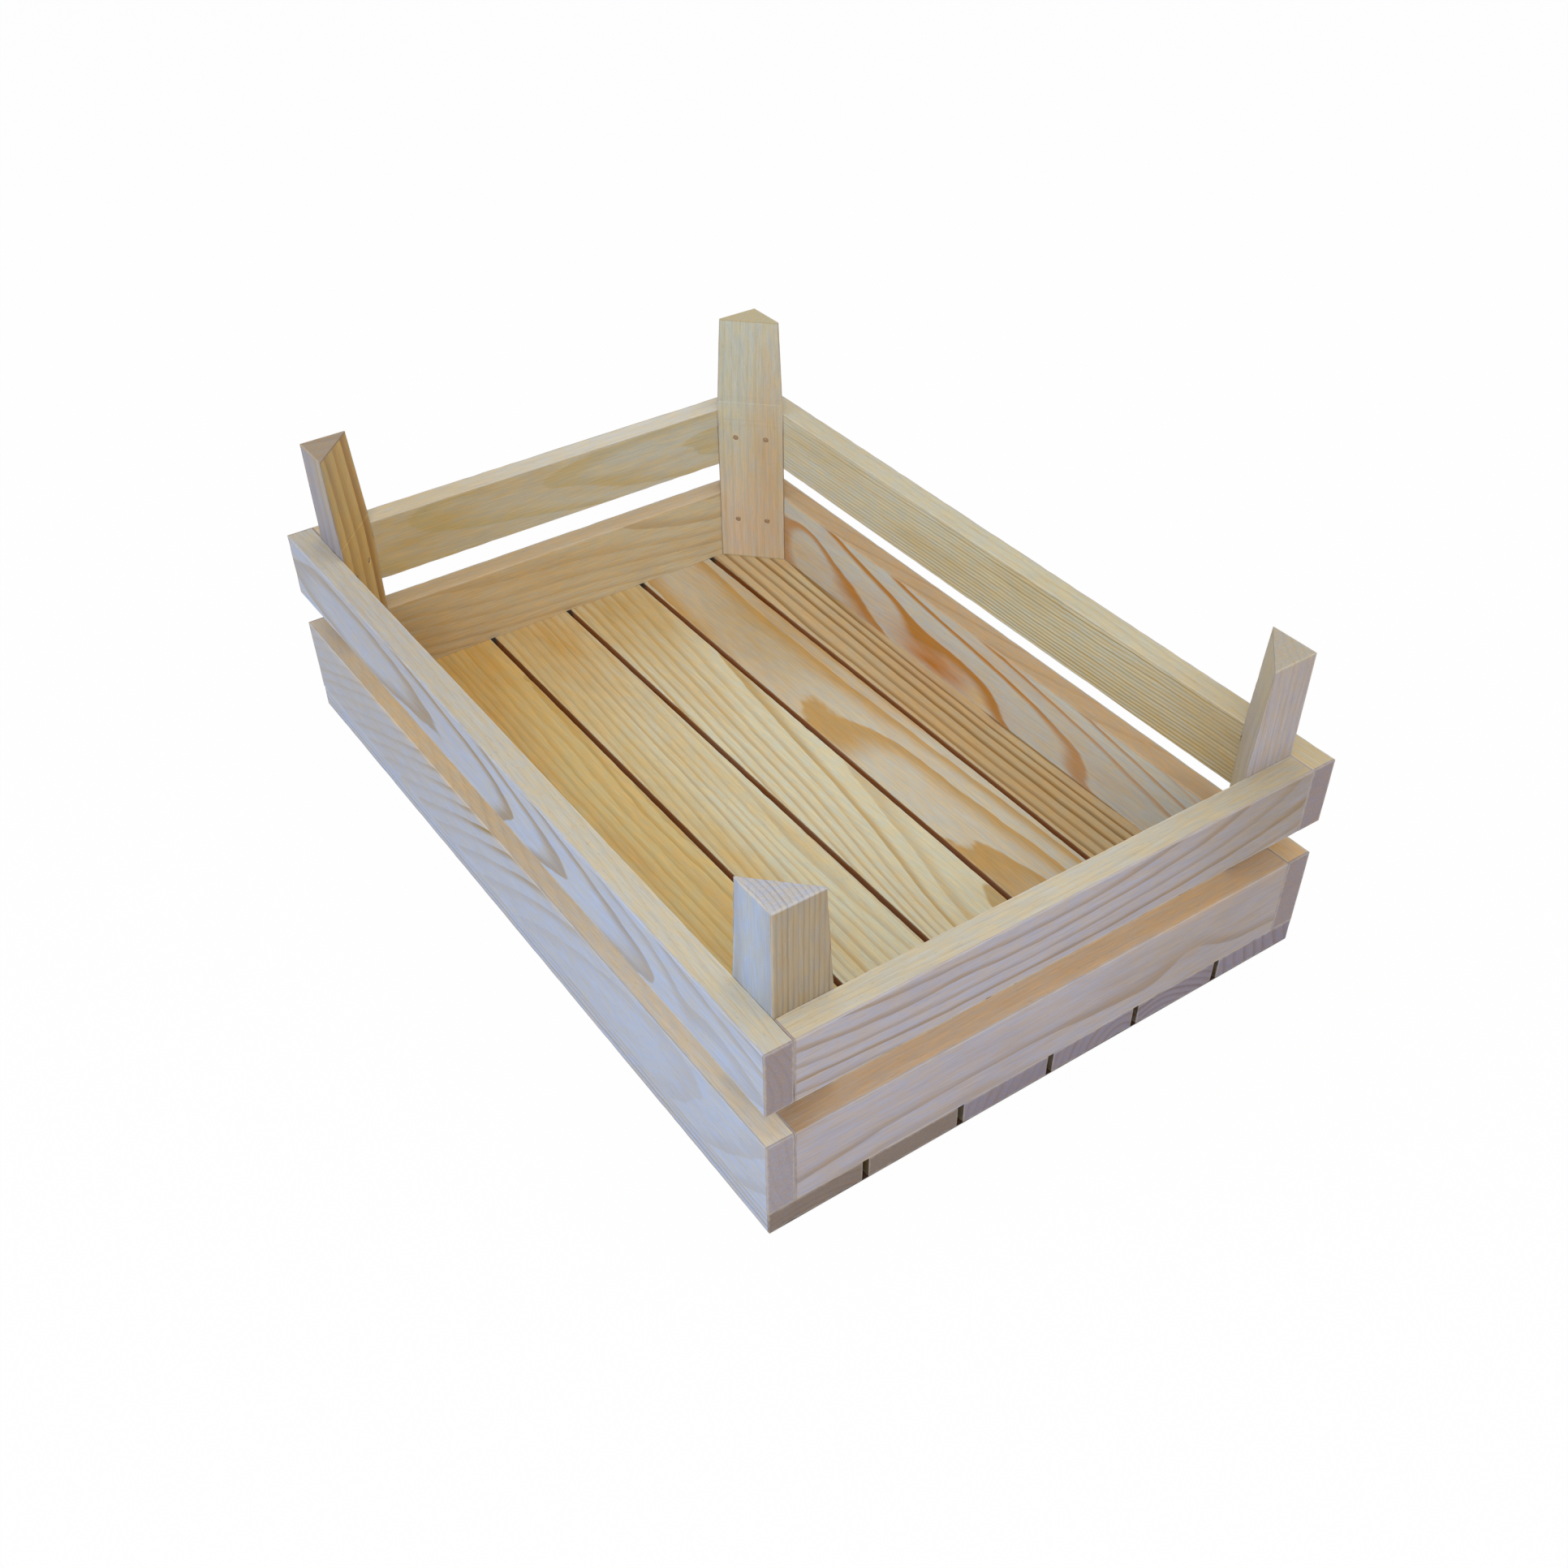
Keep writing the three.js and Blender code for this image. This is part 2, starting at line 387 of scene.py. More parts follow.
@dataclass(frozen=True)
class Pine:
    """Bare pine: pale spring wood, darker summer lines, soft patches, fibres and worn edges.

    The side that looks out of the crate takes weathered tones, which on the faces toward the front carry
    painted cool window light and on those toward the right painted dim light; side, where that is given,
    takes their place where it looks along X. A planed upper edge has the tones top, and sawn ends have the
    tones ends. Painted shade darkens a slat's sides down in the gap beside the next one, near black toward
    its ends. Where a piece is inner, its tinted patches are only on the side that looks into the crate, and
    its lines have faded outside.
    """

    wood: Tones
    weather_and_light: Tones
    ends: Tones
    top: Optional[Tones] = None
    side: Optional[Tones] = None
    strength: float = 0.7
    sharpness: float = 0.45
    patches: float = 0.25
    sawn: float = 0.0
    gap_shade: float = 0.0
    stains_and_light: tuple[StainAndLight, ...] = ()
    lines_at: Optional[Patch] = None
    inner: bool = False

    def bare(self, shader: Shader, spot: Spot, seed: float) -> tuple[Signal, Signal]:
        """Mixes the tones that the wood has before its lines are drawn.

        Args:
            shader: The shader that it is for.
            spot: Where the surface point lies.
            seed: Which piece it is.

        Returns:
            The spring wood with its tinted and cloudy patches, and the tone of the summer lines.
        """
        mixed = [srgb(shade) for shade in self.wood]
        # Outer faces take weathered tones, which carry painted cool window light toward the front and
        # painted dim light toward the right.
        tones_there = (self.top, self.weather_and_light, self.side, self.ends)
        for tones, where in zip(tones_there, (spot.top, spot.weather_and_light, spot.beside, spot.end)):
            if tones:
                mixed = [shader.mix(where, tone, srgb(shade)) for tone, shade in zip(mixed, tones)]
        spring, summer, patch = mixed
        along, across, _ = spot.place
        bounds = spot.end.most(spot.weather_and_light) if self.inner else spot.end
        # Patches of another tone: stains in the wood, and on a few pieces painted light.
        for tinted in self.stains_and_light:
            ragged = shader.noise(spot.place, TINT_RIM, 2, seed + tinted.along) + 0.5
            share = tinted.spot(along, across) * ragged * (1 - bounds)
            spring = shader.mix((share * tinted.depth).least(1.0), spring, srgb(tinted.shade))
        cloud = shader.noise(spot.place, CLOUD, 2, seed + 3).rise(*CLOUD_IN)
        return shader.mix(cloud * self.patches, spring, patch), summer

    def shown(self, line: Signal, spot: Spot) -> Signal:
        """Fades the summer lines on ends, planed edges and outer faces, and away from their patch.

        Args:
            line: How dark the lines are.
            spot: Where the surface point lies.

        Returns:
            How much of the lines shows.
        """
        along, across, _ = spot.place
        line = line * (1 - spot.end * END_FADE)
        if self.lines_at:
            patch = self.lines_at.spot(along, across)
            line = line * (patch * (1 - PATCH_FLOOR) + PATCH_FLOOR)
        if self.top:
            line = line * (1 - spot.top * TOP_FADE)
        if self.inner:
            line = line * (1 - spot.weather_and_light * OUTER_FADE)
        return line.least(1.0)

    def paint_gap_shade(self, shader: Shader, spot: Spot, tone: Signal) -> Signal:
        """Darkens a slat's sides where they stand in the gap beside the next slat.

        Args:
            shader: The shader that it is for.
            spot: Where the surface point lies.
            tone: The wood's tone.

        Returns:
            The tone with painted shade in the gap: warm along the slat, near black toward its ends.
        """
        end_gap, side_gap, _ = spot.gaps
        depth = spot.half[2] - spot.place[2]
        inside = side_gap.rise(*GAP_SIDE_IN) * depth.rise(*GAP_TOP_IN)
        inside = inside * end_gap.rise(*GAP_END_IN) * (1 - spot.facing)
        gap = shader.mix(end_gap.rise(*GAP_DEPTH_IN), srgb(GAP_SHADE_WARM), srgb(GAP_SHADE_DARK))
        return shader.mix(inside * self.gap_shade, tone, gap)

    def material(self, name: str, grain: Grain, body: "Blank") -> bpy.types.Material:
        """Makes the finish for one piece.

        Args:
            name: The material's name.
            grain: How the piece was cut from its log.
            body: The piece's place, size and direction.

        Returns:
            The material.
        """
        shader, seed = Shader(bpy.data.materials.new(name)), grain.seed
        spot = body.spot(shader)
        place, end = spot.place, spot.end

        rings = grain.rings(shader, place)
        phase = rings.math("FRACT", rings)
        luck = shader.scatter(rings.math("FLOOR", rings) + seed)
        line = phase.rise(self.sharpness, LINE_END) * phase.rise(*LINE_BACK)
        fibre = shader.noise(place, FIBRE, 3, seed + 4)
        hair = shader.noise(place, HAIR, 1, seed + 5)
        fleck = shader.noise(place, FLECK, 0, seed + 6).rise(*FLECK_IN)

        tone, summer = self.bare(shader, spot, seed)
        drawn = line * (luck * LUCK_SPAN + LUCK_FLOOR) * self.strength
        tone = shader.mix(self.shown(drawn, spot), tone, summer)
        tone = shader.mix((fibre - 0.5).rise(*FIBRE_IN) * FIBRE_TINT, tone, srgb(FIBRE_SHADE), "MULTIPLY")
        blush = shader.noise(place, BLUSH, 2, seed + 10).rise(*BLUSH_IN)
        tone = shader.mix(BLUSH_TINT, tone, shader.mix(blush, srgb(COOL), srgb(WARM)), "MULTIPLY")
        tone = shader.mix(spot.far_end, tone, srgb(FAR_END), "MULTIPLY")
        tone = shader.mix(fleck * FLECK_TINT, tone, srgb(FLECK_SHADE))
        # Painted shade on the slats' sides down in the gaps.
        if self.gap_shade:
            tone = self.paint_gap_shade(shader, spot, tone)

        end_gap, side_gap, face_gap = spot.gaps
        edge = side_gap.least(face_gap).most(side_gap.most(face_gap).least(end_gap))
        rub = (edge + (shader.noise(place, RUB, 2, seed + 7) - 0.5) * RUB_RAGGED).rise(*RUB_IN)
        tone = shader.mix(rub * RUB_TINT, tone, srgb(WORN_SHADE))

        kerf = shader.noise(place, KERF, 1, seed + 8)
        torn = shader.noise(place, TORN_END, 2, seed + 9)
        height = line * LINE_RISE + fibre * FIBRE_RISE + hair * HAIR_RISE - fleck * FLECK_DROP
        height = height + kerf * self.sawn + end * torn * TORN_RISE
        matt = ROUGH - line * LINE_GLOSS + (fibre - 0.5) * FIBRE_MATT + end * END_MATT - rub * RUB_GLOSS
        normal = shader.bump(height, RELIEF)
        return shader.surface(Base_Color=tone, Roughness=matt, Normal=normal, Specular_IOR_Level=SPECULAR)


@dataclass(frozen=True)
class Wire:
    """Dull bright nail wire, darker in blotches where it starts to rust."""

    bright: Shade = 0xB6A28C
    rust: Shade = 0x967254
    rusty: float = 0.8
    blotch: Size = (0.7, 0.7, 0.7)
    scratch: Size = (0.08, 1.4, 1.4)
    metallic: float = 0.5
    metallic_lost: float = 0.4
    roughness: float = 0.38
    rust_matt: float = 0.35
    scratch_matt: float = 0.1
    relief: float = 0.04
    rust_relief: float = 0.6
    scratch_relief: float = 0.4

    def material(self) -> bpy.types.Material:
        """Makes the finish that all the nails share."""
        shader = Shader(bpy.data.materials.new("nail_wire"))
        place = shader.place()
        spot = shader.noise(place, self.blotch, 3, 4)
        rust = spot.rise(*RUST_IN)
        scratch = shader.noise(place, self.scratch, 2, 9)
        height = spot * self.rust_relief + scratch * self.scratch_relief
        return shader.surface(
            Base_Color=shader.mix(rust * self.rusty, srgb(self.bright), srgb(self.rust)),
            Metallic=self.metallic - rust * self.metallic_lost,
            Roughness=self.roughness + rust * self.rust_matt + scratch * self.scratch_matt,
            Normal=shader.bump(height, self.relief),
        )


def deselect() -> None:
    """Leaves edit mode and clears the selection, so that an operator acts only on what is picked next."""
    if bpy.context.mode != "OBJECT":
        bpy.ops.object.mode_set(mode="OBJECT")
    bpy.ops.object.select_all(action="DESELECT")


def pick(*objects: Piece) -> None:
    """Selects only these objects and makes the last one active.

    Args:
        objects: The objects.
    """
    deselect()
    for item in objects:
        item.select_set(True)
    bpy.context.view_layer.objects.active = objects[-1]


def add(primitive: Callable, **settings: object) -> Piece:
    """Adds a primitive and applies its place and scale.

    Args:
        primitive: The operator that adds it.
        settings: The operator's own properties.

    Returns:
        The primitive.
    """
    deselect()
    primitive(**settings)
    bpy.ops.object.transform_apply(location=True, rotation=True, scale=True)
    return bpy.context.object


def choose(piece: Piece, mode: str, test: Callable = lambda part: True) -> None:
    """Opens a piece in edit mode and selects the parts of it that pass a test.

    Args:
        piece: The piece.
        mode: EDGE or FACE.
        test: Takes an edge or a face and says whether it is wanted. All are, unless it is given.
    """
    pick(piece)
    bpy.ops.object.mode_set(mode="EDIT")
    bpy.ops.mesh.select_mode(type=mode)
    bpy.ops.mesh.select_all(action="DESELECT")
    mesh = bmesh.from_edit_mesh(piece.data)
    mesh.normal_update()
    for part in mesh.faces if mode == "FACE" else mesh.edges:
        if test(part):
            part.select_set(True)
    bmesh.update_edit_mesh(piece.data)


def apply(piece: Piece, kind: str, **settings: object) -> None:
    """Adds a modifier with these settings and applies it.

    Args:
        piece: The piece.
        kind: The modifier's type.
        settings: The modifier's own properties.
    """
    pick(piece)
    modifier = piece.modifiers.new(kind.lower(), kind)
    for name, value in settings.items():
        setattr(modifier, name, value)
    bpy.ops.object.modifier_apply(modifier=modifier.name)


def smooth(piece: Piece, angle: float) -> None:
    """Shades a piece smooth, with its large faces kept flat.

    Args:
        piece: The piece.
        angle: The largest angle in degrees that is smooth.
    """
    pick(piece)
    bpy.ops.object.shade_smooth_by_angle(angle=math.radians(angle))
    apply(piece, "WEIGHTED_NORMAL", keep_sharp=True, weight=60)


def hand_in(piece: Piece, node: str) -> None:
    """Puts a finished piece in a CAD node's place.

    Args:
        piece: The piece.
        node: The CAD node.
    """
    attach(piece, BODY)
    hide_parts(node)


def nail_nodes() -> list[str]:
    """The names of the frame's nails."""
    return sorted(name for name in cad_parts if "_nail_" in name)


@dataclass
class Nails:
    """Wire nails, modelled once and driven where the frame has them. Sizes in millimetres."""

    shank: float = 1.6
    head: float = 2.6
    head_height: float = 0.8
    point: float = 2.4
    clearance: float = 0.08
    dimple: float = 0.12
    dimple_rim: float = 0.25
    head_slope: float = 0.25
    sides: int = 20
    patterns: dict[tuple[str, float], Piece] = field(default_factory=dict)

    def turn(self, radius: float, top: float, stem: float, head: Steps, tip: Steps = ()) -> Piece:
        """Turns a round piece along -Z, from a stem that is drawn out at its ends in steps.

        Args:
            radius: The stem's radius in millimetres.
            top: How far under the origin the stem starts.
            stem: The stem's length.
            head: Steps upwards from the stem, each a length and a growth in width.
            tip: Steps downwards from the stem.

        Returns:
            The turned piece.
        """
        size = {"vertices": self.sides, "radius": radius * MM, "depth": stem * MM}
        made = add(bpy.ops.mesh.primitive_cylinder_add, location=(0, 0, -(top + stem / 2) * MM), **size)
        for way, steps in ((1, head), (-1, tip)):
            choose(made, "FACE", lambda face: face.normal.z * way > ALIGNED)
            for length, grow in steps:
                rise = (0, 0, way * length * MM)
                bpy.ops.mesh.extrude_region_move(TRANSFORM_OT_translate={"value": rise})
                bpy.ops.transform.resize(value=(grow, grow, 1))
        bpy.ops.mesh.select_all(action="SELECT")
        bpy.ops.mesh.normals_make_consistent(inside=False)
        deselect()
        return made

    def forge(self, length: float) -> Piece:
        """Models a nail along -Z with its head's top at the origin.

        Args:
            length: The nail's length in millimetres.

        Returns:
            The nail.
        """
        wide, neck = self.head / self.shank, 1.12
        head = ((0.1, neck), (0.34, wide / neck), (0.2, 1.0), (0.08, 0.93), (0.05, 0.72), (0.03, 0.4))
        tip = ((0.5, 0.82), (1.3, 0.45), (0.6, 0.3))
        stem = length - self.point - self.head_height
        nail = self.turn(self.shank / 2, self.head_height, stem, head, tip)
        smooth(nail, angle=35)
        return nail

    def cutter(self, length: float) -> Piece:
        """Models the space that a nail takes in the wood, with a dimple where the hammer met it.

        Args:
            length: The nail's length in millimetres.

        Returns:
            The cutter, along -Z from above the face to past the point.
        """
        bore, counterbore = self.shank / 2 + self.clearance, self.head / 2 + self.clearance
        seat = self.head_height + self.clearance
        dimpled = (counterbore + self.dimple_rim) / counterbore
        head = ((0.0, counterbore / bore), (seat, 1.0), (self.dimple, dimpled), (1.2, 1.3))
        return self.turn(bore, seat, length - self.head_height, head)

    def seat(self, node: str) -> tuple[Matrix, float]:
        """Finds a CAD nail's place.

        Args:
            node: The nail's node.

        Returns:
            The turn and move that bring a nail along -Z with its head at the origin to it, and its length
            in millimetres.
        """
        corners = [vertex.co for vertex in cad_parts[node].data.vertices]
        middle = sum(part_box(node), Vector()) / 2
        tip = max(corners, key=lambda co: (co - middle).length)
        spread = [(co - tip).length for co in corners]
        crown = [co for co, far in zip(corners, spread) if far > max(spread) - self.head_slope * MM]
        top = sum(crown, Vector()) / len(crown)
        along = tip - top
        turn = Vector((0, 0, -1)).rotation_difference(along.normalized()).to_matrix().to_4x4()
        return Matrix.Translation(top) @ turn, along.length / MM

    def copy(self, kind: str, node: str) -> Piece:
        """Copies a nail or a cutter, with its own mesh, to a CAD nail's place.

        The first of each length is modelled then, and kept as a pattern.

        Args:
            kind: nail or cutter.
            node: The CAD nail's node.

        Returns:
            The copy.
        """
        matrix, length = self.seat(node)
        length = round(length, 1)
        if (kind, length) not in self.patterns:
            pattern = self.forge(length) if kind == "nail" else self.cutter(length)
            self.patterns[kind, length] = pattern
            pattern.name = f"pattern_{kind}_{len(self.patterns)}"
        pick(self.patterns[kind, length])
        bpy.ops.object.duplicate(linked=False)
        made = bpy.context.object
        made.data.transform(matrix)
        return made

    def drive(self, finish: bpy.types.Material) -> None:
        """Puts a nail at every nail of the frame.

        Args:
            finish: The nails' material.
        """
        nodes = nail_nodes()
        for node in nodes:
            nail = self.copy("nail", node)
            nail.name = nail.data.name = f"wire_{node}"
            nail.data.materials.append(finish)
            hand_in(nail, node)
        log.info("nails driven: %d", len(nodes))

    def sweep_up(self) -> None:
        """Removes the patterns."""
        for pattern in self.patterns.values():
            bpy.data.objects.remove(pattern)


@dataclass
class Blank:
    """A piece of wood before it is dressed: its CAD node and which way it runs.

    The envelope is how far its outer faces are from the crate's middle, in millimetres along X and Y.
    """

    node: str
    run: Run
    envelope: tuple[float, float]

    def __post_init__(self) -> None:
        """Reads the piece's place from the frame, in metres."""
        self.low, self.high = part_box(self.node)
        self.middle = (self.low + self.high) / 2
        self.half = (self.high - self.low) / 2

    def holds(self, nail: str) -> bool:
        """Says whether a CAD nail passes through this piece's box."""
        low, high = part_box(nail)
        return all(low[i] < self.high[i] and high[i] > self.low[i] for i in range(3))

    def spot(self, shader: Shader) -> Spot:
        """Reads where a surface point lies on this piece.

        Args:
            shader: The shader that it is for.

        Returns:
            The point's place.
        """
        xyz = shader.place()
        place = [xyz[axis] - self.middle[axis] / MM for axis in self.run.value]
        half = [self.half[axis] / MM for axis in self.run.value]
        gaps = [reach - abs(part) for part, reach in zip(place, half)]
        end = gaps[0].rise(*END_IN)
        far_end = end * xyz[0].rise(*LEFT_IN)
        # The outer faces, where the weathered tones with painted light go.
        beside, facing = ((abs(xyz[i]) - self.envelope[i]).rise(*OUTER_IN) for i in range(2))
        top = (xyz[2] - self.high.z / MM).rise(*TOP_IN)
        return Spot(place, half, gaps, end, far_end, beside, facing, beside.most(facing), top)


@dataclass
class Timber:
    """What all the crate's wood has in common. Sizes in millimetres.

    Kind is a word in the names of its pieces' nodes, and first_wear is the seed of its first piece's wear.
    The painted gap shade is how strongly painted shade darkens a slat's sides down in a gap, and sawn is
    how rough the saw has left the faces. Edges that turn by more than the crease, in radians, are eased. A
    wear_level over 1 keeps all wear inwards.
    """

    nails: Nails
    kind: str = ""
    slot: str = ""
    run: Run = Run.LONG
    envelope: tuple[float, float] = ENVELOPE
    first_wear: int = 1
    gap_shade: float = 0.0
    sawn: float = 0.0
    ease: float = 0.18
    ease_segments: int = 3
    crease: float = 1.0
    pitch: float = 5.0
    sag: float = 0.12
    sag_size: float = 45.0
    nicks: float = 0.22
    nick_size: float = 7.0
    nick_contrast: float = 4.0
    wear_level: float = 1.05
    wear_brightness: float = 1.5
    wear_step: Size = (0.37, 0.61, 0.23)
    shrunk: Size = (0.0, 0.0, 0.0)

    def blank(self, node: str) -> Blank:
        """The place of a piece and the way it runs."""
        return Blank(node, self.run, self.envelope)

    def cut(self, blank: Blank) -> Piece:
        """Saws a board to its CAD box, divides its faces finely and rounds its edges.

        Args:
            blank: The board's place.

        Returns:
            The board.
        """
        size = (blank.half - Vector(self.shrunk) * MM) * 2
        board = add(bpy.ops.mesh.primitive_cube_add, size=1, location=blank.middle, scale=size)
        for axis in range(3):
            cuts = round(2 * blank.half[axis] / MM / self.pitch) - 1
            if cuts > 0:
                choose(board, "EDGE", lambda edge: self.along(edge, axis))
                bpy.ops.mesh.subdivide(number_cuts=cuts)
        self.round_over(board)
        return board

    @staticmethod
    def along(edge: bmesh.types.BMEdge, axis: int) -> bool:
        """Says whether an edge runs along an axis."""
        run = edge.verts[0].co - edge.verts[1].co
        return abs(run[axis]) > ALIGNED * run.length

    @staticmethod
    def bevel(offset: float, segments: int) -> None:
        """Bevels the selected edges by an offset in millimetres."""
        bpy.ops.mesh.bevel(offset=offset * MM, offset_type="OFFSET", segments=segments, affect="EDGES")

    def round_over(self, piece: Piece) -> None:
        """Rounds a piece's edges and keeps the new faces' points as the group edge_points.

        Args:
            piece: The piece.
        """
        choose(piece, "EDGE", lambda edge: edge.calc_face_angle(0) > self.crease)
        self.bevel(self.ease, self.ease_segments)
        bpy.ops.object.vertex_group_assign_new()
        piece.vertex_groups[-1].name = "edge_points"
        deselect()

    def wear(self, piece: Piece, seed: int) -> None:
        """Lets faces sag a little and edges lose small nicks, inwards only.

        Args:
            piece: The piece.
            seed: Moves the pattern, so that no two pieces wear alike.
        """
        shift = Vector([seed * step for step in self.wear_step])
        piece.data.transform(Matrix.Translation(shift))
        kinds = (
            ("wood_sag", self.sag_size, self.sag, "", 1.0),
            ("wood_nicks", self.nick_size, self.nicks, "edge_points", self.nick_contrast),
        )
        textures = bpy.data.textures
        for name, size, depth, group, contrast in kinds:
            pattern = textures.get(name) or textures.new(name, "CLOUDS")
            pattern.noise_scale = size * MM
            pattern.contrast = contrast
            pattern.intensity = self.wear_brightness
            pattern.use_clamp = True
            settings = {"strength": depth * MM, "mid_level": self.wear_level, "vertex_group": group}
            apply(piece, "DISPLACE", texture=pattern, texture_coords="LOCAL", **settings)
        piece.data.transform(Matrix.Translation(-shift))

    def drill(self, piece: Piece, blank: Blank) -> None:
        """Cuts the holes of the nails that pass through a piece.

        Args:
            piece: The piece.
            blank: Its place.
        """
        tools = [self.nails.copy("cutter", name) for name in nail_nodes() if blank.holds(name)]
        if not tools:
            return
        pick(*tools)
        if len(tools) > 1:
            bpy.ops.object.join()
        tool = bpy.context.object
        apply(piece, "BOOLEAN", operation="DIFFERENCE", object=tool, solver="EXACT")
        bpy.data.objects.remove(tool)

    def build(self) -> None:
        """Cuts, wears, drills, dresses and hands in every piece of this kind."""
        nodes = [node for node in PINES if self.kind in node]
        for seed, node in enumerate(nodes, self.first_wear):
            blank = self.blank(node)
            piece = self.cut(blank)
            piece.name = piece.data.name = f"pine_{node}"
            self.wear(piece, seed)
            self.drill(piece, blank)
            smooth(piece, angle=40)
            pine = replace(PINES[node], gap_shade=self.gap_shade, sawn=self.sawn)
            piece.data.materials.clear()
            piece.data.materials.append(pine.material(f"wood_{node}", GRAINS[node], blank))
            hand_in(piece, node)
            log.info("%s: %d faces", piece.name, len(piece.data.polygons))


# Sides that several pieces share: outer faces, sawn ends and the planed rim. The outer faces are weathered,
# and the bluish tones of those toward the front are painted cool window light, the grey-lavender ones
# toward the right and on the slats' outer ends painted dim cool light. The sawn ends' greyish tones are end
# grain with that painted dim light.
FRONT_WEATHER_WINDOW_LIT = Tones(0xBCC6DF, 0x987C46, 0xB8B7BF)
BACK_AIR = Tones(0xCCC3B6, 0xA28864, 0xC2B4A0)
SLAT_WEATHER_DIM_LIT = Tones(0xB0A8B0, 0x8C766C, 0xA4989A)
NEAR_ENDS = Tones(0x8E807A, 0x6C5648, 0x847268)
SLAT_ENDS = Tones(0x968E9E, 0x705A56, 0x887A7C)
RIGHT_WEATHER_DIM_LIT = Tones(0xBCB6C1, 0x967A52, 0xAF9F9F)
BOARD_ENDS = Tones(0xA09398, 0x7A645E, 0x968686)
RIM = Tones(0xD8D0BE, 0xBAA480, 0xD2C4A2)
FRONT_PINE = Tones(0xD6C49E, 0xA68054, 0xCEAA70)
POST_AIR = Tones(0xC8BFB2, 0xA0886A, 0xBEB09C)

